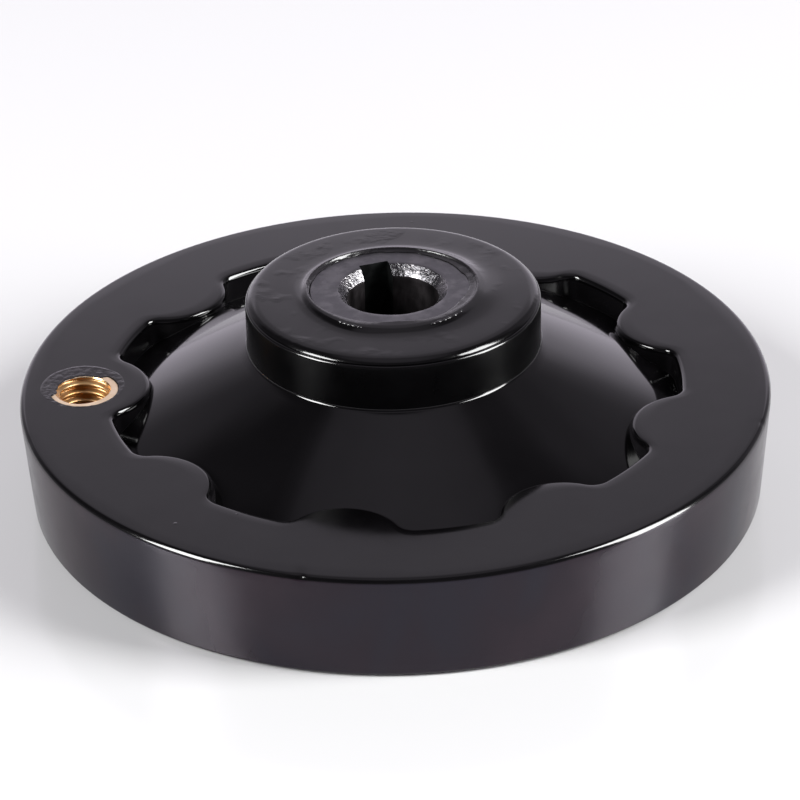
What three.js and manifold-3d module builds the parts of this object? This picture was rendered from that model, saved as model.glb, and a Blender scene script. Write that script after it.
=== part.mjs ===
// Moulded phenolic handwheel, 100 mm, with an inner finger wave.
//
// Frame: millimetres, +Z up along the wheel's bore. The origin is on the bore's
// axis, in the plane of the rim's lower face, which the wheel rests on.
// The long side of the hub and the finger wave face +Z. The tapped insert for
// the revolving handle sits at -X.
//
// Three pieces: the phenolic moulding, the keyed steel bush in its hub, and the
// tapped brass insert in its rim. Both metal pieces are moulded in, so each one
// keeps GAP all round to the phenolic that grips it.

import * as THREE from 'three';
import { mergeVertices } from 'three/addons/utils/BufferGeometryUtils.js';
import Module from 'manifold-3d';

// ---------------------------------------------------------------- dimensions
const WHEEL_R = 50;            // rim, outside radius at its upper edge
const RIM_H = 14.6;            // rim height
const RIM_DRAFT = 0.9;         // how much smaller the rim's radius is at the bottom
const RIM_EDGE = 0.85;         // radius of the rim's upper outside edge
const RIM_FOOT = 0.5;          // radius of the rim's lower outside edge
const DISH_R = 35.0;           // radius of the dish in the wheel's lower side
const DISH_EDGE = 0.9;         // radius of the dish's edge

const WAVE_COUNT = 9;          // lobes round the inside of the rim
const WAVE_VALLEY_R = 38.05;   // radius of the valleys, from the wheel's axis
const WAVE_LOBE_C = 41.1;      // centre of each lobe, from the wheel's axis
const WAVE_LOBE_R = 8.2;       // radius of each plain lobe
const WAVE_INSERT_LOBE_R = 8.5;// radius of the lobe that holds the insert
const WAVE_FILLET = 2.2;       // where a lobe runs into a valley
const WAVE_AZ = Math.PI;       // direction of the lobe that holds the insert
const WAVE_FLOOR_Z = 7.6;      // level inside the web where the wave's wall ends

const HUB_R = 19.5;            // hub, outside radius
const HUB_TOP_Z = RIM_H + 13.3;
const HUB_EDGE = 1.7;          // radius of the hub's upper edge
const LIP_TOP_Z = RIM_H + 14.0;// raised lip round the bush
const LIP_R = 11.7;            // middle of the lip
const LIP_FOOT_R = 12.9;       // where the lip runs into the hub's face

const WEB_R0 = 19.8;           // the web leaves the hub here,
const WEB_Z0 = RIM_H + 6.0;    //   at this level,
const WEB_S0 = 0.485;          //   with this slope,
const WEB_S1 = 0.0032;         //   which grows by twice this for each millimetre
const WEB_T = 5.0;             // thickness of the web, measured upright
const BOSS_R = 17.2;           // lower boss of the hub
const BOSS_Z = 2.0;            // its end face

const BUSH_R = 11.0;           // steel bush, outside radius
const BUSH_Z0 = 1.8;
const BUSH_Z1 = RIM_H + 13.5;
const BUSH_FLAT_AF = 21.0;     // hexagon rolled into its middle, across flats
const BUSH_FLAT_Z = [10.0, 16.0];
const BORE_R = 6.0;            // shaft bore, 12 mm
const BORE_CHAMFER_R = 7.25;   // bore chamfer, outside radius
const BORE_CHAMFER_H = 0.65;
const KEY_W = 4.0;             // keyway width
const KEY_TOP = 7.8;           // keyway bottom, from the bore's axis
const KEY_AZ = 109 * Math.PI / 180;

const INSERT_C = 41.5;         // insert's axis, from the wheel's axis
const INSERT_AZ = Math.PI + 1.3 * Math.PI / 180;
const INSERT_R = 4.6;          // brass insert, outside radius
const INSERT_Z = [0.3, RIM_H - 0.1];
const INSERT_NECK_R = 4.1;     // its waist, which the phenolic fills
const INSERT_NECK_Z = [5.4, 9.2];
const THREAD_R = 3.3;          // M8 thread, core radius
const THREAD_SINK_R = 3.60;    // countersink, outside radius

const GAP = 0.3;
const SEG = 72;                // sides of every round

// ------------------------------------------------------------------- solids
const wasm = await Module();
wasm.setup();

function toSolid(geometry) {
  const g = geometry.clone();
  for (const name of Object.keys(g.attributes)) if (name !== 'position') g.deleteAttribute(name);
  const m = mergeVertices(g, 1e-5);
  return new wasm.Manifold(new wasm.Mesh({
    numProp: 3,
    vertProperties: new Float32Array(m.attributes.position.array),
    triVerts: new Uint32Array(m.index.array),
  }));
}

function toGeometry(solid) {
  const m = solid.getMesh();
  const g = new THREE.BufferGeometry();
  const n = m.vertProperties.length / m.numProp;
  const p = new Float32Array(n * 3);
  for (let i = 0; i < n; i++) for (let k = 0; k < 3; k++) p[3 * i + k] = m.vertProperties[i * m.numProp + k];
  g.setAttribute('position', new THREE.BufferAttribute(p, 3));
  g.setIndex(new THREE.BufferAttribute(new Uint32Array(m.triVerts), 1));
  g.computeVertexNormals();
  return g;
}

// A ring turned about Z from a profile of [radius, height] that closes on itself,
// listed anticlockwise with the radius to the right and the height up.
function turned(profile, segments = SEG) {
  const pts = [...profile, profile[0]].map(([r, z]) => new THREE.Vector2(r, z));
  const g = new THREE.LatheGeometry(pts, segments);
  g.rotateX(Math.PI / 2);
  return toSolid(g);
}

// A prism on an outline, from z0 to z1.
function prism(points, z0, z1) {
  const shape = new THREE.Shape(points.map(([x, y]) => new THREE.Vector2(x, y)));
  const g = new THREE.ExtrudeGeometry(shape, { depth: z1 - z0, bevelEnabled: false });
  g.translate(0, 0, z0);
  return toSolid(g);
}

function disc(r, z0, z1, segments = SEG, turn = 0) {
  const pts = [];
  for (let i = 0; i < segments; i++) {
    const a = turn + 2 * Math.PI * i / segments;
    pts.push([r * Math.cos(a), r * Math.sin(a)]);
  }
  return prism(pts, z0, z1);
}

// Points on an arc in the profile plane; angles in degrees.
function arc(cr, cz, r, a0, a1, n) {
  const out = [];
  for (let i = 0; i <= n; i++) {
    const a = (a0 + (a1 - a0) * i / n) * Math.PI / 180;
    out.push([cr + r * Math.cos(a), cz + r * Math.sin(a)]);
  }
  return out;
}

const webZ = (r) => WEB_Z0 - WEB_S0 * (r - WEB_R0) - WEB_S1 * (r - WEB_R0) ** 2;

// The finger wave: lobes towards the axis, valleys between, small fillets.
function waveOutline() {
  const step = 2 * Math.PI / WAVE_COUNT;
  const a = WAVE_VALLEY_R - WAVE_FILLET;
  const lobeR = (k) => (k % WAVE_COUNT === 0 ? WAVE_INSERT_LOBE_R : WAVE_LOBE_R);
  const half = (k) => {
    const b = lobeR(k) + WAVE_FILLET;
    return Math.acos((a * a + WAVE_LOBE_C ** 2 - b * b) / (2 * WAVE_LOBE_C * a));
  };
  const pts = [];
  const run = (cx, cy, r, t0, t1, n, last) => {
    for (let i = 0; i < n + (last ? 1 : 0); i++) {
      const t = t0 + (t1 - t0) * i / n;
      pts.push([cx + r * Math.cos(t), cy + r * Math.sin(t)]);
    }
  };
  for (let k = 0; k < WAVE_COUNT; k++) {
    const az = WAVE_AZ + k * step;
    const lx = WAVE_LOBE_C * Math.cos(az), ly = WAVE_LOBE_C * Math.sin(az);
    const f1 = az - half(k), f2 = az + half(k);
    const f1x = a * Math.cos(f1), f1y = a * Math.sin(f1);
    const f2x = a * Math.cos(f2), f2y = a * Math.sin(f2);
    // first fillet: from the valley round to the lobe
    let s = f1, e = Math.atan2(ly - f1y, lx - f1x);
    while (e < s) e += 2 * Math.PI;
    run(f1x, f1y, WAVE_FILLET, s, e, 3, false);
    // the lobe, clockwise about its own centre
    s = Math.atan2(f1y - ly, f1x - lx);
    e = Math.atan2(f2y - ly, f2x - lx);
    while (e > s) e -= 2 * Math.PI;
    run(lx, ly, lobeR(k), s, e, 7, false);
    // second fillet: from the lobe round to the valley
    s = Math.atan2(ly - f2y, lx - f2x);
    e = f2;
    while (e < s) e += 2 * Math.PI;
    while (e - s > 2 * Math.PI) e -= 2 * Math.PI;
    run(f2x, f2y, WAVE_FILLET, s, e, 3, false);
    // the valley
    run(0, 0, WAVE_VALLEY_R, f2, az + step - half(k + 1), 2, false);
  }
  return pts;
}

// -------------------------------------------------------------- wheel_body
function wheelBody() {
  const rimBottomR = WHEEL_R - RIM_DRAFT;
  const rim = turned([
    [30.5, webZ(30.5) - 2.5],
    [DISH_R - 0.4, webZ(DISH_R) - 2.5],
    [DISH_R - 0.1, webZ(DISH_R) - WEB_T - 0.9],
    [DISH_R, webZ(DISH_R) - WEB_T - 1.6],
    [DISH_R + 0.1, DISH_EDGE],
    [DISH_R + 0.35, 0.25],
    [DISH_R + 0.1 + DISH_EDGE, 0],
    [rimBottomR - RIM_FOOT, 0],
    [rimBottomR - 0.15, 0.15],
    [rimBottomR, RIM_FOOT],
    ...arc(WHEEL_R - RIM_EDGE, RIM_H - RIM_EDGE, RIM_EDGE, 0, 90, 3),
    [30.5, RIM_H],
  ]);
  const rimCut = rim.subtract(prism(waveOutline(), WAVE_FLOOR_Z, RIM_H + 2));

  const web = turned([
    [9.0, BOSS_Z],
    [BOSS_R - 0.7, BOSS_Z],
    [BOSS_R, BOSS_Z + 0.7],
    [BOSS_R + 0.7, webZ(20) - WEB_T - 1.6],
    [BOSS_R + 1.3, webZ(20) - WEB_T - 0.4],
    [20.0, webZ(20) - WEB_T],
    [24.0, webZ(24) - WEB_T],
    [28.0, webZ(28) - WEB_T],
    [31.5, webZ(31.5) - WEB_T],
    [DISH_R - 0.9, webZ(DISH_R - 0.9) - WEB_T],
    [DISH_R - 0.3, webZ(DISH_R - 0.3) - WEB_T - 0.5],
    [DISH_R + 1.0, webZ(DISH_R) - WEB_T - 1.2],
    [39.5, webZ(DISH_R) - WEB_T - 1.2],
    [39.5, webZ(39.5)],
    [37.0, webZ(37)],
    [34.5, webZ(34.5)],
    [32.0, webZ(32)],
    [29.0, webZ(29)],
    [26.0, webZ(26)],
    [23.0, webZ(23)],
    [20.5, webZ(20.5)],
    [19.7, webZ(19.8) + 0.35],
    [HUB_R, webZ(19.8) + 1.0],
    ...arc(HUB_R - HUB_EDGE, HUB_TOP_Z - HUB_EDGE, HUB_EDGE, 0, 90, 4),
    [LIP_FOOT_R, HUB_TOP_Z],
    [LIP_R + 0.6, LIP_TOP_Z - 0.2],
    [LIP_R, LIP_TOP_Z],
    [LIP_R - 0.35, LIP_TOP_Z - 0.1],
    [9.0, LIP_TOP_Z - 0.1],
  ]);

  // Room for the bush: a bore with six low flats that hold it from turning and sliding.
  const flats = disc(BUSH_R + 3, BUSH_FLAT_Z[0] + GAP, BUSH_FLAT_Z[1] - GAP)
    .subtract(disc((BUSH_FLAT_AF / 2 + GAP) / Math.cos(Math.PI / 6), 0, 40, 6));
  const bushRoom = disc(BUSH_R + GAP, -1, 40).subtract(flats);

  // Room for the insert, narrower at the insert's waist.
  const waist = turned([
    [INSERT_NECK_R + GAP, INSERT_NECK_Z[0] + 0.75],
    [INSERT_R + 2, INSERT_NECK_Z[0] + 0.75],
    [INSERT_R + 2, INSERT_NECK_Z[1] - 0.75],
    [INSERT_NECK_R + GAP, INSERT_NECK_Z[1] - 0.75],
  ], 36);
  const insertRoom = disc(INSERT_R + GAP, -1, RIM_H + 1, 36).subtract(waist)
    .translate([INSERT_C * Math.cos(INSERT_AZ), INSERT_C * Math.sin(INSERT_AZ), 0]);

  return rimCut.add(web).subtract(bushRoom).subtract(insertRoom);
}

// ---------------------------------------------------------------- hub_bush
function hubBush() {
  const body = turned([
    [BORE_R, BUSH_Z0 + 0.5],
    [BORE_R + 0.5, BUSH_Z0],
    [BUSH_R - 0.4, BUSH_Z0],
    [BUSH_R, BUSH_Z0 + 0.4],
    [BUSH_R, BUSH_Z1 - 0.3],
    [BUSH_R - 0.3, BUSH_Z1],
    [BORE_CHAMFER_R, BUSH_Z1],
    [BORE_R, BUSH_Z1 - BORE_CHAMFER_H],
  ]);
  const flats = disc(BUSH_R + 3, BUSH_FLAT_Z[0], BUSH_FLAT_Z[1])
    .subtract(disc(BUSH_FLAT_AF / 2 / Math.cos(Math.PI / 6), 0, 40, 6));
  // The keyway runs the whole length of the bore.
  const c = Math.cos(KEY_AZ), s = Math.sin(KEY_AZ), w = KEY_W / 2;
  const key = prism([
    [-s * -w, c * -w],
    [c * KEY_TOP - s * -w, s * KEY_TOP + c * -w],
    [c * KEY_TOP - s * w, s * KEY_TOP + c * w],
    [-s * w, c * w],
  ], -1, 40);
  return body.subtract(flats).subtract(key);
}

// ----------------------------------------------------------- handle_insert
function handleInsert() {
  const [z0, z1] = INSERT_Z;
  const [n0, n1] = INSERT_NECK_Z;
  return turned([
    [THREAD_R, z0 + 0.4],
    [THREAD_SINK_R, z0],
    [INSERT_R - 0.25, z0],
    [INSERT_R, z0 + 0.25],
    [INSERT_R, n0],
    [INSERT_NECK_R, n0 + 0.45],
    [INSERT_NECK_R, n1 - 0.45],
    [INSERT_R, n1],
    [INSERT_R, z1 - 0.25],
    [INSERT_R - 0.25, z1],
    [THREAD_SINK_R, z1],
    [THREAD_R, z1 - 0.4],
  ], 36);
}

// ------------------------------------------------------------------- scene
const phenolic = new THREE.MeshStandardMaterial({ color: 0x121114, roughness: 0.16, metalness: 0.0 });
const steel = new THREE.MeshStandardMaterial({ color: 0x74757a, roughness: 0.45, metalness: 1.0 });
const brass = new THREE.MeshStandardMaterial({ color: 0xc79a4a, roughness: 0.28, metalness: 1.0 });

function piece(name, solid, material) {
  const mesh = new THREE.Mesh(toGeometry(solid), material);
  mesh.name = name;
  return mesh;
}

const wheel = new THREE.Group();
wheel.add(piece('wheel_body', wheelBody(), phenolic));
wheel.add(piece('hub_bush', hubBush(), steel));
const insert = piece('handle_insert', handleInsert(), brass);
insert.position.set(INSERT_C * Math.cos(INSERT_AZ), INSERT_C * Math.sin(INSERT_AZ), 0);
wheel.add(insert);

export default wheel;
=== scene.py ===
import math
import bpy
import numpy as np
from mathutils import Matrix, Vector, noise


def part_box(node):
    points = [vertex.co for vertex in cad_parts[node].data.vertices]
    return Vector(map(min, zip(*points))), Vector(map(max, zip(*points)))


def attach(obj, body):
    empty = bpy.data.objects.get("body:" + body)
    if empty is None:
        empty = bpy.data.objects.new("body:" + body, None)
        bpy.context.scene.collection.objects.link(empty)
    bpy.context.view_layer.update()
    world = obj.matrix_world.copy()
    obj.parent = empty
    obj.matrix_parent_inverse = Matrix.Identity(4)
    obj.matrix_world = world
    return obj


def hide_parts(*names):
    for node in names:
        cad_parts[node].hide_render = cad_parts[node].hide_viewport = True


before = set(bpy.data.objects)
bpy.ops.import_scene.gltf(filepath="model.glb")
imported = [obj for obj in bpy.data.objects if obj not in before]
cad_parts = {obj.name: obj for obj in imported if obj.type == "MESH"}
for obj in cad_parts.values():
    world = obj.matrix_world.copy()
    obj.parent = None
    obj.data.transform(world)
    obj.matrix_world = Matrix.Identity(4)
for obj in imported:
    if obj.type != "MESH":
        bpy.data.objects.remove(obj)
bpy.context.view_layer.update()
MM = 0.001

# ------------------------------------------------------------------ places
lo_w, hi_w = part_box("wheel_body")
lo_b, hi_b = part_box("hub_bush")
lo_i, hi_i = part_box("handle_insert")

WHEEL_R = hi_w[0] / MM                 # 50
BUSH_TOP = hi_b[2] / MM                # end face of the bush
BUSH_BOT = lo_b[2] / MM
BUSH_R = hi_b[0] / MM
INS_X = (lo_i[0] + hi_i[0]) / 2 / MM
INS_Y = (lo_i[1] + hi_i[1]) / 2 / MM
INS_R = (hi_i[0] - lo_i[0]) / 2 / MM
INS_Z0, INS_Z1 = lo_i[2] / MM, hi_i[2] / MM
LIP_TOP = hi_w[2] / MM

RIM_H = 14.6
RIM_DRAFT = 0.9
RIM_EDGE = 0.85
RIM_FOOT = 0.5
DISH_R = 35.0
DISH_EDGE = 0.9
W_N = 9
W_VALLEY = 38.05
W_C = 41.1
W_R = 8.2
W_INS_R = 8.5
W_FIL = 2.2
W_AZ = math.pi
WALL_TOP_R = 0.81
WALL_BASE_R = 0.06
HUB_R = 19.5
HUB_TOP = RIM_H + 13.3
HUB_EDGE = 1.7
WEB_R0, WEB_Z0, WEB_S0, WEB_S1, WEB_T = 19.8, RIM_H + 6.0, 0.485, 0.0032, 5.0
BOSS_R, BOSS_Z = 17.2, 2.0
BORE_R = 6.0
CHAMFER_R, CHAMFER_H = 7.25, 0.65
KEY_W, KEY_TOP, KEY_AZ = 4.0, 7.8, math.radians(109)


def web_z(r):
    return WEB_Z0 - WEB_S0 * (r - WEB_R0) - WEB_S1 * (r - WEB_R0) ** 2


def nz(x, y, z, scale, seed):
    """Smooth noise about 0, at a scale in millimetres."""
    return noise.noise(Vector((x / scale + seed * 17.31, y / scale - seed * 5.77, z / scale + seed * 3.19)))


# ------------------------------------------------------------- mesh making
def make_object(name, verts_mm, faces, mats, face_mats=None, sharp=None):
    me = bpy.data.meshes.new(name)
    me.from_pydata((np.asarray(verts_mm) * MM).tolist(), [], faces)
    for m in mats:
        me.materials.append(m)
    if face_mats is not None:
        me.polygons.foreach_set("material_index", np.asarray(face_mats, dtype=np.int32))
    me.polygons.foreach_set("use_smooth", np.ones(len(me.polygons), dtype=bool))
    me.update()
    me.validate()
    o = bpy.data.objects.new(name, me)
    bpy.context.scene.collection.objects.link(o)
    if sharp:
        me.set_sharp_from_angle(angle=math.radians(sharp))
    return o


def ring_faces(n_ring, n_seg, closed=True):
    """Quads between successive rings of n_seg points; closed joins the last ring to the first."""
    faces = []
    last = n_ring if closed else n_ring - 1
    for k in range(last):
        a = k * n_seg
        b = ((k + 1) % n_ring) * n_seg
        for i in range(n_seg):
            j = (i + 1) % n_seg
            faces.append((a + i, a + j, b + j, b + i))
    return faces


def cut(obj, cutter, solver="EXACT"):
    m = obj.modifiers.new("cut", "BOOLEAN")
    m.operation = "DIFFERENCE"
    m.object = cutter
    m.solver = solver
    bpy.context.view_layer.update()
    dg = bpy.context.evaluated_depsgraph_get()
    me = bpy.data.meshes.new_from_object(obj.evaluated_get(dg))
    obj.modifiers.clear()
    old = obj.data
    obj.data = me
    bpy.data.meshes.remove(old)
    bpy.data.objects.remove(cutter, do_unlink=True)


def flip_out(obj):
    import bmesh
    bm = bmesh.new()
    bm.from_mesh(obj.data)
    bmesh.ops.recalc_face_normals(bm, faces=bm.faces[:])
    bm.to_mesh(obj.data)
    bm.free()
    obj.data.update()


# --------------------------------------------------------------- materials
def new_mat(name):
    m = bpy.data.materials.new(name)
    m.use_nodes = True
    nt = m.node_tree
    p = next(n for n in nt.nodes if n.type == "BSDF_PRINCIPLED")
    return m, nt, p


def N(nt, kind, **kw):
    n = nt.nodes.new(kind)
    for k, v in kw.items():
        setattr(n, k, v)
    return n


def coords(nt, scale=(1, 1, 1), loc=(0, 0, 0)):
    tc = N(nt, "ShaderNodeTexCoord")
    mp = N(nt, "ShaderNodeMapping")
    mp.inputs["Scale"].default_value = scale
    mp.inputs["Location"].default_value = loc
    nt.links.new(tc.outputs["Object"], mp.inputs["Vector"])
    return mp.outputs["Vector"]


def noise_tex(nt, vec, scale, detail=3.0, rough=0.5, distort=0.0):
    t = N(nt, "ShaderNodeTexNoise")
    t.inputs["Scale"].default_value = scale
    t.inputs["Detail"].default_value = detail
    t.inputs["Roughness"].default_value = rough
    t.inputs["Distortion"].default_value = distort
    nt.links.new(vec, t.inputs["Vector"])
    return t.outputs["Fac"]


def ramp(nt, fac, stops):
    r = N(nt, "ShaderNodeValToRGB")
    el = r.color_ramp.elements
    while len(el) > 1:
        el.remove(el[-1])
    el[0].position, el[0].color = stops[0][0], stops[0][1]
    for pos, col in stops[1:]:
        e = el.new(pos)
        e.color = col
    nt.links.new(fac, r.inputs["Fac"])
    return r.outputs["Color"]


def rng(nt, fac, a, b, lo, hi):
    m = N(nt, "ShaderNodeMapRange")
    m.inputs["From Min"].default_value = a
    m.inputs["From Max"].default_value = b
    m.inputs["To Min"].default_value = lo
    m.inputs["To Max"].default_value = hi
    nt.links.new(fac, m.inputs["Value"])
    return m.outputs["Result"]


def bump(nt, height, strength, dist, prev=None):
    b = N(nt, "ShaderNodeBump")
    b.inputs["Strength"].default_value = strength
    b.inputs["Distance"].default_value = dist
    nt.links.new(height, b.inputs["Height"])
    if prev is not None:
        nt.links.new(prev, b.inputs["Normal"])
    return b.outputs["Normal"]


def math_node(nt, op, a, b=None):
    m = N(nt, "ShaderNodeMath", operation=op)
    for i, v in enumerate((a, b)):
        if v is None:
            continue
        if isinstance(v, (int, float)):
            m.inputs[i].default_value = v
        else:
            nt.links.new(v, m.inputs[i])
    return m.outputs[0]


def grey(v, t=(1.0, 0.96, 1.04)):
    return (v * t[0], v * t[1], v * t[2], 1.0)


def phenolic(name, rough, rough_var, wave, wave_size, grain, tint=(1.06, 0.95, 1.12), dark=0.0008, light=0.0018, flow=0.0, ior=1.6, mottle=0.0, upright=0.0, pits=0.0):
    """Dark moulded phenolic: nearly black with a slight purple cast, glossy skin,
    a long soft waviness, a fine grain and a few small flow marks."""
    m, nt, p = new_mat(name)
    vec = coords(nt)
    f1 = noise_tex(nt, vec, 60, 4, 0.55)
    nt.links.new(ramp(nt, f1, [(0.35, grey(dark, tint)), (0.65, grey(light, tint))]), p.inputs["Base Color"])
    f2 = noise_tex(nt, vec, 220, 4, 0.6)
    nt.links.new(rng(nt, f2, 0.3, 0.7, rough - rough_var, rough + rough_var), p.inputs["Roughness"])
    p.inputs["IOR"].default_value = ior
    if mottle:
        # cloudy patches, some purple and some blue-grey, as the resin cured
        cl = noise_tex(nt, coords(nt, (1.0, 1.0, 0.55)), 75, 3, 0.5, 0.3)
        nt.links.new(ramp(nt, cl, [(0.36, (mottle * 1.10, mottle * 0.70, mottle * 0.95, 1)), (0.50, (mottle * 0.80, mottle * 0.56, mottle * 0.80, 1)),
                                   (0.64, (mottle * 0.72, mottle * 0.66, mottle * 0.98, 1))]), p.inputs["Base Color"])
        p.inputs["Specular Tint"].default_value = (1.0, 0.92, 1.07, 1)
    nrm = bump(nt, noise_tex(nt, vec, 1.0 / (wave_size * MM), 2, 0.5), 1.0, wave * MM)
    nrm = bump(nt, noise_tex(nt, vec, 2600, 2, 0.5), 1.0, grain * MM, nrm)
    if pits:
        # a few pinholes and specks
        vo = N(nt, "ShaderNodeTexVoronoi")
        vo.inputs["Scale"].default_value = 170
        nt.links.new(vec, vo.inputs["Vector"])
        dot = rng(nt, vo.outputs["Distance"], 0.02, 0.05, 1.0, 0.0)
        some = rng(nt, noise_tex(nt, vec, 95, 1, 0.5), 0.52, 0.56, 0.0, 1.0)
        nrm = bump(nt, math_node(nt, "MULTIPLY", dot, some), 1.0, pits * MM, nrm)
    if upright:
        # faint upright draw marks
        nrm = bump(nt, noise_tex(nt, coords(nt, (1.0, 1.0, 0.03)), 330, 1, 0.5), 1.0, upright * MM, nrm)
    if flow:
        streaks = noise_tex(nt, coords(nt, (1.0, 1.9, 1.0)), 620, 2.0, 0.55)
        where = rng(nt, noise_tex(nt, vec, 210, 2, 0.5), 0.52, 0.68, 0.0, 1.0)
        nrm = bump(nt, math_node(nt, "MULTIPLY", streaks, where), 1.0, flow * MM, nrm)
    nt.links.new(nrm, p.inputs["Normal"])
    return m


mat_face = phenolic("phenolic_polished", 0.11, 0.02, 0.0018, 9.0, 0.00010, pits=0.035)
mat_web = phenolic("phenolic_web", 0.07, 0.02, 0.0050, 8.0, 0.00012, pits=0.045)
mat_side = phenolic("phenolic_side", 0.20, 0.05, 0.0080, 12.0, 0.0001, ior=1.34, mottle=0.014, upright=0.003)
mat_hub = phenolic("phenolic_hub_face", 0.12, 0.03, 0.0035, 5.0, 0.0002, flow=0.032, ior=1.57)
mat_under = phenolic("phenolic_under", 0.18, 0.04, 0.0040, 8.0, 0.0003, dark=0.003, light=0.006)
mat_flash = phenolic("phenolic_flash", 0.20, 0.08, 0.030, 0.7, 0.001, dark=0.004, light=0.012)
mat_wall = phenolic("phenolic_wall", 0.22, 0.06, 0.012, 4.0, 0.0002, dark=0.003, light=0.006)
mat_foot = phenolic("phenolic_wall_foot", 0.50, 0.08, 0.012, 4.0, 0.0002, ior=1.16, dark=0.002, light=0.005)
mat_hub_side = phenolic("phenolic_hub_side", 0.32, 0.08, 0.004, 6.0, 0.0002, ior=1.17, upright=0.006, dark=0.0006, light=0.0014, tint=(1.06, 0.98, 1.2))


def metal(name, color, rough, rough_var, grain_scale, grain, stretch=(1, 1, 1), patch=None, patch_at=(0.45, 0.6), metallic=1.0):
    m, nt, p = new_mat(name)
    vec = coords(nt, stretch)
    f = noise_tex(nt, vec, grain_scale, 5, 0.62)
    c2 = patch or tuple(c * 0.72 for c in color)
    g = noise_tex(nt, coords(nt), 420, 4, 0.6)
    nt.links.new(ramp(nt, g, [(patch_at[0], (*c2, 1)), (patch_at[1], (*color, 1))]), p.inputs["Base Color"])
    p.inputs["Metallic"].default_value = metallic
    nt.links.new(rng(nt, f, 0.3, 0.7, rough - rough_var, rough + rough_var), p.inputs["Roughness"])
    nt.links.new(bump(nt, f, 1.0, grain * MM), p.inputs["Normal"])
    return m


mat_steel_face = metal("bush_face", (0.182, 0.177, 0.187), 0.40, 0.08, 900, 0.012, patch=(0.132, 0.129, 0.139))
mat_steel_chamfer = metal("bush_chamfer", (0.38, 0.37, 0.38), 0.20, 0.08, 1300, 0.20, patch=(0.14, 0.137, 0.145), patch_at=(0.46, 0.58))
mat_steel_bore = metal("bush_bore", (0.10, 0.09, 0.095), 0.42, 0.10, 500, 0.030, stretch=(1, 1, 0.35))
mat_steel_key = metal("bush_keyway", (0.12, 0.13, 0.13), 0.35, 0.08, 500, 0.012)
# one brass in three shades: the face is lighter as painted light, and the countersink and thread are darker and browner
# as painted shade down the tapped hole
mat_brass_face = metal("insert_face", (0.97, 0.78, 0.58), 0.50, 0.06, 1200, 0.006, patch=(0.92, 0.71, 0.50), metallic=0.84)
mat_brass_sink = metal("insert_countersink", (0.88, 0.66, 0.44), 0.26, 0.05, 900, 0.006, patch=(0.72, 0.47, 0.22))
mat_brass_thread = metal("insert_thread", (0.78, 0.52, 0.26), 0.36, 0.05, 900, 0.004, patch=(0.68, 0.40, 0.16))

# ---------------------------------------------------------- the wave outline
def wave_samples():
    a = W_VALLEY - W_FIL
    step = 2 * math.pi / W_N
    C, U, R, S = [], [], [], []

    def lobe_r(k):
        return W_INS_R if k % W_N == 0 else W_R

    def half(k):
        b = lobe_r(k) + W_FIL
        return math.acos((a * a + W_C ** 2 - b * b) / (2 * W_C * a))

    def run(cx, cy, r, t0, t1, n, s):
        for i in range(n):
            t = t0 + (t1 - t0) * i / n
            C.append((cx, cy)); U.append((math.cos(t), math.sin(t))); R.append(r); S.append(s)

    for k in range(W_N):
        az = W_AZ + k * step
        lx, ly = W_C * math.cos(az), W_C * math.sin(az)
        f1, f2 = az - half(k), az + half(k)
        f1x, f1y = a * math.cos(f1), a * math.sin(f1)
        f2x, f2y = a * math.cos(f2), a * math.sin(f2)
        s, e = f1, math.atan2(ly - f1y, lx - f1x)
        while e < s: e += 2 * math.pi
        run(f1x, f1y, W_FIL, s, e, 13, 1)
        s, e = math.atan2(f1y - ly, f1x - lx), math.atan2(f2y - ly, f2x - lx)
        while e > s: e -= 2 * math.pi
        run(lx, ly, lobe_r(k), s, e, 42, -1)
        s, e = math.atan2(ly - f2y, lx - f2x), f2
        while e < s: e += 2 * math.pi
        while e - s > 2 * math.pi: e -= 2 * math.pi
        run(f2x, f2y, W_FIL, s, e, 13, 1)
        run(0.0, 0.0, W_VALLEY, f2, az + step - half(k + 1), 12, 1)
    return np.array(C), np.array(U), np.array(R), np.array(S, float)


WC, WU, WRr, WS = wave_samples()
NSEG = len(WRr)
W0 = WC + WU * WRr[:, None]
AZ = np.unwrap(np.arctan2(W0[:, 1], W0[:, 0]))
CA, SA = np.cos(AZ), np.sin(AZ)
WNRM = WU * WS[:, None]


def wave_at(d):
    """The outline moved d into the rim (a number or one per point)."""
    return WC + WU * (WRr + WS * d)[:, None]


def circle(r, z):
    r = np.broadcast_to(np.asarray(r, float), (NSEG,))
    z = np.broadcast_to(np.asarray(z, float), (NSEG,))
    return np.stack([r * CA, r * SA, z], -1)


def flat(p2, z):
    z = np.broadcast_to(np.asarray(z, float), (NSEG,))
    return np.stack([p2[:, 0], p2[:, 1], z], -1)


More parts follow.
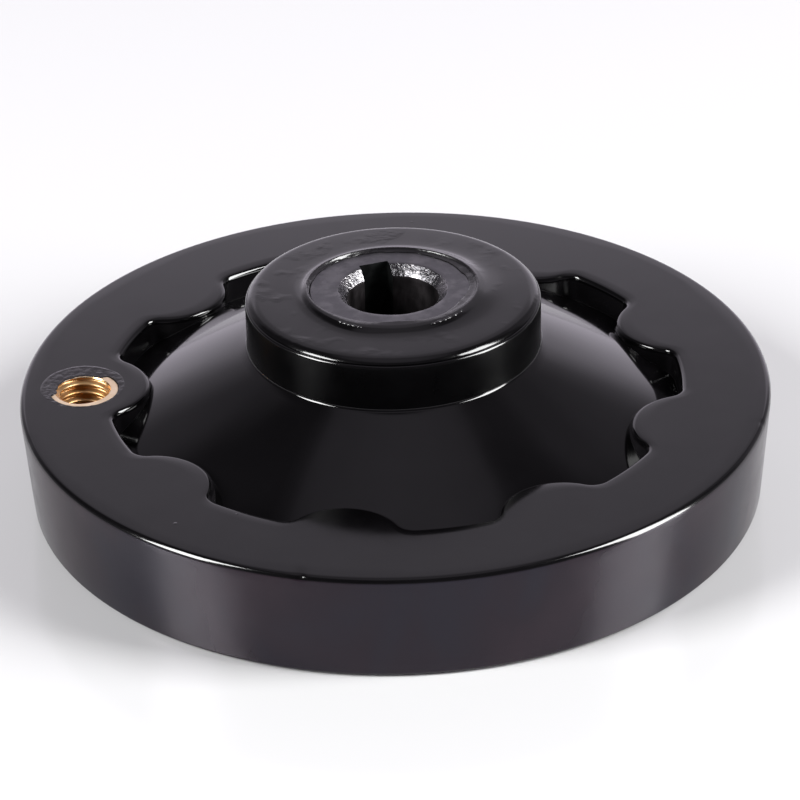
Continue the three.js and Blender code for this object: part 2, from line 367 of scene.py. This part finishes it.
# -------------------------------------------------------------- wheel_body
def build_body():
    rings, tags = [], []

    def add(ring, tag):
        rings.append(ring)
        tags.append(tag)      # material of the band from this ring to the next

    HUBF, WEB, WALL, FACE, SIDE, UNDER, FLASH, HUBS, FOOT = 3, 1, 6, 0, 2, 4, 5, 7, 8
    # the lip round the bush, a little off centre, and the film of phenolic inside it
    rc = 10.95 - 0.10 * CA + 0.35 * SA + 0.30 * np.cos(2 * AZ)
    side_w = np.exp(-(((np.degrees(AZ) + 180) % 360 - 180) / 52.0) ** 2)      # 1 at the right
    r_in = np.empty(NSEG)
    for i in range(NSEG):
        x, y = CA[i] * 10, SA[i] * 10
        v = 10.50 - 0.45 * CA[i] + 0.20 * nz(x, y, 0, 3.4, 1) + 0.12 * nz(x, y, 0, 1.1, 2)
        az = math.degrees(AZ[i]) % 360
        # a broader tongue at the near right
        for c, w, amt in ((330, 24, 0.55), (300, 14, 0.20), (12, 14, -0.15)):
            dd = (az - c + 180) % 360 - 180
            v -= amt * math.exp(-(dd / w) ** 2)
        r_in[i] = v
    near = np.exp(-(((np.degrees(AZ) % 360) - 273) / 17.0) ** 2)              # 1 at the near side
    far = np.exp(-(((np.degrees(AZ) % 360) - 88) / 42.0) ** 2)
    rc = rc - 0.35 * near
    r_in = np.minimum(r_in * (1 - near) + (rc - 0.32) * near, rc - 0.32)
    up = 1 - near
    deg = np.degrees(AZ) % 360
    fl_l, fl_r = np.exp(-((deg - 243) / 15.0) ** 2), np.exp(-((deg - 305) / 15.0) ** 2)
    bits = (fl_l + fl_r) * np.array([0.7 + 0.6 * nz(CA[i] * 12, SA[i] * 12, 0, 0.9, 33) for i in range(NSEG)])
    lump = np.array([0.050 * nz(CA[i] * 11, SA[i] * 11, 0, 1.3, 4) for i in range(NSEG)])
    lump2 = np.array([0.07 * nz(CA[i] * 11, SA[i] * 11, 0, 0.7, 5) for i in range(NSEG)])
    zf = BUSH_TOP + 0.015
    top = LIP_TOP
    add(circle(BUSH_R + 0.02, zf), FLASH)
    add(circle(r_in + 0.03, zf), FLASH)
    add(circle(r_in, zf + 0.03 * up), FLASH)
    add(circle(r_in + 0.04, zf + (0.07 + lump * 0.3) * up), FLASH)
    add(circle(r_in * 0.7 + (rc - 0.28) * 0.3, zf + (0.10 + lump * 0.6) * up), FLASH)
    add(circle(r_in * 0.3 + (rc - 0.28) * 0.7, zf + (0.13 + lump) * up), FLASH)
    add(circle(rc - 0.26, zf + 0.19 + lump * up), FLASH)
    for d, z, k in ((-0.17, -0.24, 1.0), (-0.10, -0.14, 0.9), (-0.02, -0.055, 0.6), (0.06, -0.012, 0.3)):
        zn = {-0.24: -0.10, -0.14: -0.05, -0.055: -0.02, -0.012: -0.03}[z]
        add(circle(rc + d, top + z * up + zn * near + np.minimum(lump2 * k, 0.0) * up), FLASH)
    r0 = np.maximum(11.50, rc + 0.16) + 0.30 * fl_l + 0.05 * fl_r
    add(circle(rc * 0.5 + r0 * 0.5 + 0.03, top - 0.022 - 0.060 * far - 0.13 * near - 0.08 * bits + np.minimum(lump2 * 0.2, 0.0)), HUBF)
    for d, z, q in ((0.0, -0.085, 1.0), (0.15, -0.155, 1.1), (0.32, -0.29, 1.0), (0.50, -0.42, 0.7), (0.73, -0.545, 0.35), (1.02, -0.635, 0.1), (1.36, -0.682, 0), (1.75, -0.699, 0)):
        add(circle(r0 + d * (1 + 1.3 * side_w), top + z - 0.16 * q * near + (0.045 * bits if d == 0 else 0)), HUBF)
    rl = r0 + 1.75 * (1 + 1.3 * side_w)
    crown = 0.045        # the face is very slightly domed
    for t in (0.3, 0.65):
        add(circle(rl * (1 - t) + 17.0 * t, HUB_TOP - crown * 0.7 * t), HUBF)
    add(circle(17.0, HUB_TOP - crown * 0.7), HUBF)
    # the hub's edge, with the thin line where the mould closed
    cr, cz = HUB_R - HUB_EDGE, HUB_TOP - HUB_EDGE
    for a in (90, 82, 74, 66, 60, 55, 50, 46, 42, 39, 37):
        t = math.radians(a)
        add(circle(cr + HUB_EDGE * math.cos(t), cz + HUB_EDGE * math.sin(t) - crown * (a - 37) / 53), HUBF)
    wob = np.array([0.02 * nz(CA[i] * 19, SA[i] * 19, 0, 4.0, 21) for i in range(NSEG)])
    for dr, dz in ((-0.02, -0.05), (-0.10, -0.09), (-0.12, -0.14), (-0.04, -0.18)):
        add(circle(19.158 + dr, HUB_TOP - 0.677 + dz + wob), FACE)
    sr, sz = HUB_R - 0.42, HUB_TOP - 0.86 - 0.42 * math.sin(math.radians(62))
    for a in (62, 54, 46, 38, 30, 22, 14, 7, 0):
        t = math.radians(a)
        add(circle(sr + 0.42 * math.cos(t), sz + 0.42 * math.sin(t) + wob * (a / 62)), FACE if a > 24 else HUBS)
    add(circle(HUB_R + 0.01, sz - 1.0), HUBS)
    add(circle(HUB_R + 0.02, sz - 2.2), HUBS)
    f = 0.42
    b = math.atan(WEB_S0)
    rc = HUB_R + 0.03 + f
    zc = web_z(rc) + f / math.cos(b)
    for k in range(8):
        a = math.radians(180 + (90 - math.degrees(b)) * k / 7)
        add(circle(rc + f * math.cos(a), zc + f * math.sin(a)), HUBS if k == 0 else WEB)
    for r in (20.6, 21.4, 22.4, 23.6, 24.8, 26.0, 27.2, 28.4, 29.4, 30.2):
        add(circle(r, web_z(r)), WEB)
    # the foot of the wave's wall
    r0 = np.hypot(W0[:, 0], W0[:, 1])
    nr = (WNRM * W0).sum(1) / r0
    tb = (WEB_S0 + 2 * WEB_S1 * (r0 - WEB_R0)) * nr
    be = np.arctan(tb)
    f = WALL_BASE_R
    z0 = web_z(r0)
    zc = z0 + f * tb + f / np.cos(be)
    dt = f + f * np.sin(be)
    foot2 = wave_at(-dt)
    footz = zc - f * np.cos(be)
    inner = np.stack([30.6 * CA, 30.6 * SA], -1)
    for t in (0.0, 0.22, 0.45, 0.68, 0.88):
        p2 = inner * (1 - t) + foot2 * t
        z = web_z(np.hypot(p2[:, 0], p2[:, 1]))
        z = z + (footz - web_z(np.hypot(foot2[:, 0], foot2[:, 1]))) * t ** 3
        add(flat(p2, z), WEB)
    K = 8
    for k in range(K + 1):
        a = -(math.pi / 2 - be) + (-math.pi + (math.pi / 2 - be)) * k / K
        add(flat(wave_at(-(f + f * np.cos(a))), zc + f * np.sin(a)), FOOT if k < K else WALL)
    ztop = RIM_H - WALL_TOP_R
    for t in (0.3, 0.6, 0.9):
        add(flat(wave_at(0.04 * t), zc * (1 - t) + ztop * t), WALL)
    for k in range(9):
        a = math.pi / 2 * k / 8
        add(flat(wave_at(0.04 + WALL_TOP_R * (1 - math.cos(a))), ztop + WALL_TOP_R * math.sin(a)), FACE)
    p_in = wave_at(0.04 + WALL_TOP_R)
    p_out = np.stack([(WHEEL_R - RIM_EDGE) * CA, (WHEEL_R - RIM_EDGE) * SA], -1)
    for t in (0.12, 0.3, 0.5, 0.7, 0.88):
        add(flat(p_in * (1 - t) + p_out * t, RIM_H), FACE)
    for k in range(11):
        a = math.pi / 2 * (1 - k / 10)
        chip = (0.16 * np.exp(-((np.degrees(AZ) % 360 - 255.8) / 0.55) ** 2) + 0.07 * np.exp(-((np.degrees(AZ) % 360 - 196.5) / 0.5) ** 2)
                + 0.08 * np.exp(-((np.degrees(AZ) % 360 - 343.5) / 0.5) ** 2)) * math.sin(math.pi * k / 10)
        add(circle(WHEEL_R - RIM_EDGE + RIM_EDGE * math.cos(a) - chip * math.cos(a), RIM_H - RIM_EDGE + RIM_EDGE * math.sin(a) - chip * math.sin(a)), FACE if k < 8 else SIDE)
    for t in (0.08, 0.25, 0.45, 0.65, 0.85):
        z = (RIM_H - RIM_EDGE) * (1 - t) + RIM_FOOT * t
        add(circle(WHEEL_R - RIM_DRAFT * t, z), SIDE)
    rb = WHEEL_R - RIM_DRAFT
    for k in range(7):
        a = -math.pi / 2 * k / 6
        add(circle(rb - RIM_FOOT + RIM_FOOT * math.cos(a), RIM_FOOT + RIM_FOOT * math.sin(a)), SIDE if k < 6 else UNDER)
    for r in (46.0, 42.0, 38.5):
        add(circle(r, 0.0), UNDER)
    for k in range(8):
        a = math.pi / 2 * k / 7
        add(circle(DISH_R + 0.1 + DISH_EDGE - DISH_EDGE * math.sin(a), DISH_EDGE - DISH_EDGE * math.cos(a)), UNDER)
    zt = web_z(DISH_R) - WEB_T
    for r, z in ((DISH_R + 0.05, zt - 2.6), (DISH_R, zt - 1.6), (DISH_R - 0.08, zt - 1.0), (DISH_R - 0.28, zt - 0.5), (DISH_R - 0.6, zt - 0.1), (DISH_R - 1.0, web_z(DISH_R - 1.0) - WEB_T)):
        add(circle(r, z), UNDER)
    for r in (32.5, 30.5, 28.0, 25.5, 23.0, 21.4):
        add(circle(r, web_z(r) - WEB_T), UNDER)
    z20 = web_z(20) - WEB_T
    for r, z in ((20.2, z20 - 0.10), (19.3, z20 - 0.02), (18.7, z20 - 0.25), (18.25, z20 - 0.75), (18.0, z20 - 1.4), (17.9, z20 - 2.2), (17.5, 7.0), (BOSS_R, 2.9)):
        add(circle(r, z), UNDER)
    for k in range(7):
        a = math.pi / 2 * k / 6
        add(circle(BOSS_R - 0.7 + 0.7 * math.cos(a), BOSS_Z + 0.7 - 0.7 * math.sin(a)), UNDER)
    add(circle(13.5, BOSS_Z), UNDER)
    add(circle(BUSH_R + 0.25, BOSS_Z), UNDER)
    add(circle(BUSH_R + 0.02, BOSS_Z + 0.2), UNDER)

    V = np.concatenate(rings)
    F = ring_faces(len(rings), NSEG)
    FM = np.repeat(np.array(tags), NSEG)
    o = make_object("handwheel_body", V, F, [mat_face, mat_web, mat_side, mat_hub, mat_under, mat_flash, mat_wall, mat_hub_side, mat_foot], FM)
    flip_out(o)
    # the insert's hole, right through the rim
    n = 160
    pts = []
    for z in (-2.0, RIM_H + 2):
        for i in range(n):
            a = 2 * math.pi * i / n
            pts.append((INS_X + (INS_R + 0.02) * math.cos(a), INS_Y + (INS_R + 0.02) * math.sin(a), z))
    faces = ring_faces(2, n, closed=False) + [tuple(range(n))[::-1], tuple(range(n, 2 * n))]
    c = make_object("cutter", pts, faces, [mat_under])
    flip_out(c)
    cut(o, c)
    o.data.set_sharp_from_angle(angle=math.radians(38))
    return o


body = build_body()
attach(body, "root")
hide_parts("wheel_body")


# ---------------------------------------------------------------- hub_bush
def build_bush():
    n = 288
    prof = [(BORE_R, BUSH_BOT + 0.55, 2), (BORE_R + 0.5, BUSH_BOT, 0), (8.5, BUSH_BOT, 0), (BUSH_R - 0.4, BUSH_BOT, 0), (BUSH_R - 0.1, BUSH_BOT + 0.12, 0),
            (BUSH_R, BUSH_BOT + 0.4, 0), (BUSH_R, BUSH_TOP - 0.15, 0), (BUSH_R - 0.15, BUSH_TOP, 0),
            (10.2, BUSH_TOP, 0), (9.4, BUSH_TOP, 0), (8.6, BUSH_TOP, 0), (7.9, BUSH_TOP, 0),
            (CHAMFER_R + 0.08, BUSH_TOP, 0), (CHAMFER_R + 0.02, BUSH_TOP - 0.02, 1), (CHAMFER_R - 0.04, BUSH_TOP - 0.06, 1),
            (CHAMFER_R - 0.30, BUSH_TOP - 0.30, 1), (CHAMFER_R - 0.58, BUSH_TOP - 0.57, 1), (CHAMFER_R - 0.86, BUSH_TOP - 0.85, 1), (BORE_R + 0.08, BUSH_TOP - (CHAMFER_R - BORE_R) + 0.10, 1),
            (BORE_R + 0.02, BUSH_TOP - (CHAMFER_R - BORE_R) - 0.02, 2), (BORE_R, BUSH_TOP - (CHAMFER_R - BORE_R) - 0.2, 2)]
    for z in np.linspace(BUSH_TOP - 2, BUSH_BOT + 1.5, 12):
        prof.append((BORE_R, float(z), 2))
    V, FM = [], []
    for k, (r, z, m) in enumerate(prof):
        for i in range(n):
            a = 2 * math.pi * i / n
            x, y = math.cos(a), math.sin(a)
            rr, zz = r, z
            if 12 <= k <= 18:      # the hand-turned chamfer is a little uneven
                rr += 0.05 * nz(x * 7, y * 7, 0, 2.2, 7) + 0.02 * nz(x * 7, y * 7, z, 0.6, 8)
            if 15 <= k <= 17:
                zz += 0.090 * nz(x * 7, y * 7, 0, 0.8, 40 + k) + 0.05 * nz(x * 7, y * 7, 0, 0.35, 50 + k)
            if 8 <= k <= 11:
                zz += -0.012 + 0.012 * nz(x * r, y * r, 0, 1.2, 9)
            V.append((rr * x, rr * y, zz))
        FM += [m] * n
    F = ring_faces(len(prof), n)
    o = make_object("keyed_bush", V, F, [mat_steel_face, mat_steel_chamfer, mat_steel_bore, mat_steel_key], FM)
    flip_out(o)
    # keyway
    c, s, w = math.cos(KEY_AZ), math.sin(KEY_AZ), KEY_W / 2
    P = []
    for z in (-2.0, BUSH_TOP + 2):
        for d, q in ((1.0, -w), (KEY_TOP, -w), (KEY_TOP, w), (1.0, w)):
            P.append((c * d - s * q, s * d + c * q, z))
    faces = [(0, 1, 2, 3), (7, 6, 5, 4), (0, 4, 5, 1), (1, 5, 6, 2), (2, 6, 7, 3), (3, 7, 4, 0)]
    k = make_object("key_cutter", P, faces, [mat_steel_key])
    flip_out(k)
    cut(o, k)
    o.data.set_sharp_from_angle(angle=math.radians(32))
    return o


bush = build_bush()
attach(bush, "root")
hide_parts("hub_bush")


# ----------------------------------------------------------- handle_insert
def build_insert():
    n = 144
    pitch, r_min, r_maj = 1.25, 3.22, 3.86

    def thread_r(z, a):
        ph = (z / pitch - a / (2 * math.pi)) % 1.0
        t = abs(ph - 0.5) * 2            # 0 at the crest's far side, 1 at the groove
        t = min(max((t - 0.16) / 0.70, 0.0), 1.0)
        t = t * t * (3 - 2 * t) * 0.6 + t * 0.4
        r = r_min + (r_maj - r_min) * t
        sink = 0.0
        for zz in (INS_Z1, INS_Z0):
            d = abs(z - zz)
            sink = max(sink, 3.58 - d * 0.75)
        return max(r, sink)

    rings, tags = [], []
    zs = np.arange(INS_Z0, INS_Z1 + 1e-6, 0.05)
    for z in zs:
        rings.append([(thread_r(z, 2 * math.pi * i / n), z) for i in range(n)])
        tags.append(2 if z > INS_Z1 - 0.32 else 1)
    tags[-1] = 0
    top = INS_Z1
    for r, z in ((4.05, top), (4.2, top), (4.42, top), (4.52, top - 0.02), (4.58, top - 0.07), (INS_R, top - 0.16),
                 (INS_R, 9.2), (4.1, 8.75), (4.1, 5.85), (INS_R, 5.4), (INS_R, INS_Z0 + 0.16), (4.52, INS_Z0 + 0.03), (4.42, INS_Z0), (4.05, INS_Z0)):
        rings.append([(r, z)] * n)
        tags.append(0)
    V = []
    for ring in rings:
        for i, (r, z) in enumerate(ring):
            a = 2 * math.pi * i / n
            V.append((INS_X + r * math.cos(a), INS_Y + r * math.sin(a), z))
    F = ring_faces(len(rings), n)
    FM = np.repeat(np.array(tags), n)
    o = make_object("tapped_insert", V, F, [mat_brass_face, mat_brass_thread, mat_brass_sink], FM)
    flip_out(o)
    o.data.set_sharp_from_angle(angle=math.radians(40))
    return o


ins = build_insert()
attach(ins, "root")
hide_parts("handle_insert")


def build_insert_flash():
    """The rough skin of phenolic round the insert, which creeps over the far side of the brass."""
    n, m = 300, 20
    r_out = 5.6
    top_v, bot_v = [], []
    for i in range(n):
        a = 2 * math.pi * i / n
        deg = math.degrees(a)
        x, y = math.cos(a), math.sin(a)
        # 1 on the far side (90 degrees), 0 on the near side
        cover = 0.0
        for c0, c1, soft in ((52, 197, 13),):
            d = min(deg - c0, c1 - deg)
            cover = max(cover, min(max(d / soft + 0.5, 0.0), 1.0))
        cover = cover * cover * (3 - 2 * cover)
        ragged = 0.16 * nz(x * 4, y * 4, 0, 1.0, 11) + 0.10 * nz(x * 4, y * 4, 0, 0.4, 12)
        r_in = (INS_R + 0.03) * (1 - cover) + (3.70 + ragged) * cover
        ro = r_out + 0.10 * nz(x * 5, y * 5, 0, 2.5, 13)
        tr, br = [], []
        for k in range(m + 1):
            t = k / m
            r = r_in + (ro - r_in) * t
            px, py = x * r - 0.25 * t, y * r + 0.85 * t
            lump = nz(px, py, 0, 0.75, 14) + 0.5 * nz(px, py, 0, 0.33, 15)
            edge = min(1.0, (1 - t) / 0.18)
            z = RIM_H + 0.022 + 0.040 * lump * edge + 0.045 * math.exp(-((t - 0.86) / 0.07) ** 2) * cover * (0.45 + 0.9 * abs(nz(x * 5, y * 5, 0, 0.7, 16)))
            z -= 0.010 * (1 - edge)
            if r < INS_R + 0.1:       # dips towards the brass
                q = (INS_R + 0.1 - r) / (INS_R + 0.1 - 3.6)
                z -= 0.06 * q ** 1.3
            z_b = RIM_H - 0.05 if math.hypot(px, py) > INS_R + 0.02 else INS_Z1 + 0.004
            if k == m:
                z, z_b = RIM_H - 0.01, RIM_H - 0.05
            if k == 0 and cover > 0.02:
                z = z_b + 0.03
            z = max(z, z_b + 0.01)
            tr.append((INS_X + px, INS_Y + py, z))
            br.append((INS_X + px, INS_Y + py, z_b))
        top_v.append(tr)
        bot_v.append(br)
    V = []
    for k in range(m + 1):
        V += [top_v[i][k] for i in range(n)]
    for k in range(m, -1, -1):
        V += [bot_v[i][k] for i in range(n)]
    F = ring_faces(2 * (m + 1), n)
    o = make_object("insert_flash", V, F, [mat_flash])
    flip_out(o)
    o.data.set_sharp_from_angle(angle=math.radians(50))
    return o


flash = build_insert_flash()
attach(flash, "root")

def build_flecks():
    """Crumbs of film left standing on the near side of the lip."""
    V, F = [], []
    crumbs = ((234, 11.72, 0.34, 0.15), (237.5, 11.78, 0.55, 0.18), (241, 11.84, 0.42, 0.15), (244.5, 11.80, 0.62, 0.18), (248, 11.88, 0.34, 0.14),
              (296, 11.75, 0.36, 0.16), (300, 11.62, 0.62, 0.20), (304.5, 11.70, 0.40, 0.18), (308, 11.58, 0.70, 0.20), (314, 11.60, 0.44, 0.17), (320, 11.50, 0.36, 0.15))
    for q, (az, r, ln, wd) in enumerate(crumbs):
        a = math.radians(az)
        tx, ty, rx, ry = -math.sin(a), math.cos(a), math.cos(a), math.sin(a)
        z0 = LIP_TOP - 0.17
        hi = 0.15
        nu, nv, b = 14, 6, len(V)
        for j in range(nv + 1):
            el = math.pi / 2 * j / nv
            for i in range(nu):
                t = 2 * math.pi * i / nu
                k = 1 + 0.30 * nz(math.cos(t) * 2 + 9 * q, math.sin(t) * 2, j * 0.5, 1.0, 61)
                u, v = ln * k * math.cos(el) * math.cos(t), wd * k * math.cos(el) * math.sin(t)
                V.append((rx * r + tx * u + rx * v, ry * r + ty * u + ry * v, z0 + hi * math.sin(el) * (1 + 0.2 * nz(u * 3, v * 3, q, 0.8, 62))))
        V.append((rx * r, ry * r, z0 - 0.02))
        for j in range(nv):
            for i in range(nu):
                i2 = (i + 1) % nu
                F.append((b + j * nu + i, b + j * nu + i2, b + (j + 1) * nu + i2, b + (j + 1) * nu + i))
        F += [(b + (i + 1) % nu, b + i, b + (nv + 1) * nu) for i in range(nu)]
        F.append(tuple(b + nv * nu + i for i in range(nu)))
    o = make_object("film_crumbs", V, F, [mat_flash])
    flip_out(o)
    o.data.set_sharp_from_angle(angle=math.radians(60))
    return o


crumbs = build_flecks()
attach(crumbs, "root")

# ------------------------------------------------------------------- stage
def floor():
    me = bpy.data.meshes.new("floor")
    s = 3.0
    me.from_pydata([(-s, -s, -0.0002), (s, -s, -0.0002), (s, s, -0.0002), (-s, s, -0.0002)], [], [(0, 1, 2, 3)])
    o = bpy.data.objects.new("floor", me)
    bpy.context.scene.collection.objects.link(o)
    m, nt, p = new_mat("floor_white")
    p.inputs["Base Color"].default_value = (0.66, 0.66, 0.665, 1)
    p.inputs["Roughness"].default_value = 0.12
    p.inputs["IOR"].default_value = 1.85
    me.materials.append(m)
    return o


floor()


def sky():
    """A dark studio with a pale backdrop panel behind the part and a dim ceiling."""
    w = bpy.data.worlds.new("studio")
    bpy.context.scene.world = w
    w.use_nodes = True
    nt = w.node_tree
    for n in list(nt.nodes):
        nt.nodes.remove(n)
    tc = N(nt, "ShaderNodeTexCoord")
    sep = N(nt, "ShaderNodeSeparateXYZ")
    nt.links.new(tc.outputs["Generated"], sep.inputs[0])
    el = rng(nt, math_node(nt, "ARCSINE", sep.outputs["Z"]), 0.0, math.pi / 2, 0.0, 1.0)
    az = math_node(nt, "ARCTAN2", sep.outputs["Y"], sep.outputs["X"])

    def within(centre, full, gone):
        """1 within full degrees of a compass direction, falling smoothly to 0 at gone."""
        off = math_node(nt, "ABSOLUTE", math_node(nt, "SUBTRACT", az, math.radians(centre)))
        m = N(nt, "ShaderNodeMapRange", interpolation_type="SMOOTHSTEP")
        m.inputs["From Min"].default_value = math.radians(full)
        m.inputs["From Max"].default_value = math.radians(gone)
        m.inputs["To Min"].default_value = 1.0
        m.inputs["To Max"].default_value = 0.0
        nt.links.new(off, m.inputs["Value"])
        return m.outputs["Result"]

    def over(under, top, fac):
        mix = N(nt, "ShaderNodeMix", data_type="RGBA")
        nt.links.new(fac, mix.inputs["Factor"])
        nt.links.new(under, mix.inputs[6])
        nt.links.new(top, mix.inputs[7])
        return mix.outputs[2]

    def g(v):
        return (v * 1.025, v * 0.955, v * 1.085, 1)

    base = ramp(nt, el, [(d / 90, g(v)) for d, v in ((0, 0.22), (8, 0.17), (16, 0.11), (24, 0.050), (64, 0.050), (67, 0.09), (69.5, 0.19), (72, 0.226), (80, 0.268), (90, 0.29))])
    dim = ramp(nt, el, [(d / 90, g(v)) for d, v in ((0, 0.34), (12, 0.26), (24, 0.20), (38, 0.18), (43, 0.15), (50, 0.15), (56, 0.085), (62, 0.07), (66, 0.10), (69, 0.18), (72, 0.222), (80, 0.268), (90, 0.29))])
    panel = ramp(nt, el, [(d / 90, g(v)) for d, v in ((0, 1.25), (8, 1.05), (15, 0.86), (22, 0.80), (26.4, 0.84), (27.3, 0.62), (28.2, 0.50), (30.5, 0.44), (32.5, 0.38), (36, 0.38), (58, 0.40), (66, 0.26), (72, 0.23), (80, 0.268), (90, 0.29))])
    wide = ramp(nt, el, [(d / 90, g(v)) for d, v in ((0, 0.62), (8, 0.52), (15, 0.44), (30, 0.42), (36, 0.38), (58, 0.40), (66, 0.26), (72, 0.23), (80, 0.268), (90, 0.29))])
    col = over(over(over(base, dim, within(84, 50, 60)), wide, within(90, 30, 40)), panel, within(89, 26, 34))
    bg = N(nt, "ShaderNodeBackground")
    nt.links.new(col, bg.inputs["Color"])
    bg.inputs["Strength"].default_value = 1.0
    out = N(nt, "ShaderNodeOutputWorld")
    nt.links.new(bg.outputs[0], out.inputs["Surface"])


sky()


def softbox(name, az, el, dist, w, h, radiance, color=(1, 1, 1)):
    """A rectangular soft light that looks at the wheel. radiance is what a mirror would show."""
    ld = bpy.data.lights.new(name, "AREA")
    ld.shape = "RECTANGLE"
    ld.size, ld.size_y = w, h
    ld.energy = radiance * math.pi * w * h
    ld.color = color
    o = bpy.data.objects.new(name, ld)
    bpy.context.scene.collection.objects.link(o)
    a, e = math.radians(az), math.radians(el)
    d = Vector((math.cos(e) * math.cos(a), math.cos(e) * math.sin(a), math.sin(e)))
    o.location = Vector((0, 0, 0.015)) + d * dist
    o.rotation_euler = (-d).to_track_quat("-Z", "Y").to_euler()
    o.visible_camera = False
    return o


softbox("key_left", 203, 32, 1.2, 0.42, 0.70, 21.0)
softbox("key_right", -12, 28, 1.2, 0.46, 1.10, 18.5)

# ------------------------------------------------------------------ camera
def camera():
    f, d, e, yaw, pitch, roll = 3452.5, 9.2239, 0.5117, 0.0015, 0.5181, -0.0245
    cam = bpy.data.cameras.new("camera")
    cam.sensor_fit = "HORIZONTAL"
    cam.sensor_width = 36.0
    cam.lens = f * 36.0 / 800.0
    cam.clip_start = 0.01
    cam.clip_end = 20
    o = bpy.data.objects.new("camera", cam)
    bpy.context.scene.collection.objects.link(o)
    cp, sp, cy, sy = math.cos(pitch), math.sin(pitch), math.cos(yaw), math.sin(yaw)
    fwd = Vector((sy * cp, cy * cp, -sp))
    right = Vector((cy, -sy, 0))
    up = right.cross(fwd)
    cr, sr = math.cos(roll), math.sin(roll)
    r2 = cr * right + sr * up
    u2 = -sr * right + cr * up
    R = WHEEL_R * MM
    loc = Vector((0, -d * math.cos(e) * R, d * math.sin(e) * R + RIM_H * MM))
    m = Matrix.Identity(4)
    for i in range(3):
        m[i][0], m[i][1], m[i][2], m[i][3] = r2[i], u2[i], -fwd[i], loc[i]
    o.matrix_world = m
    bpy.context.scene.camera = o


camera()
bpy.context.scene.view_settings.view_transform = "Standard"
bpy.context.scene.view_settings.look = "None"
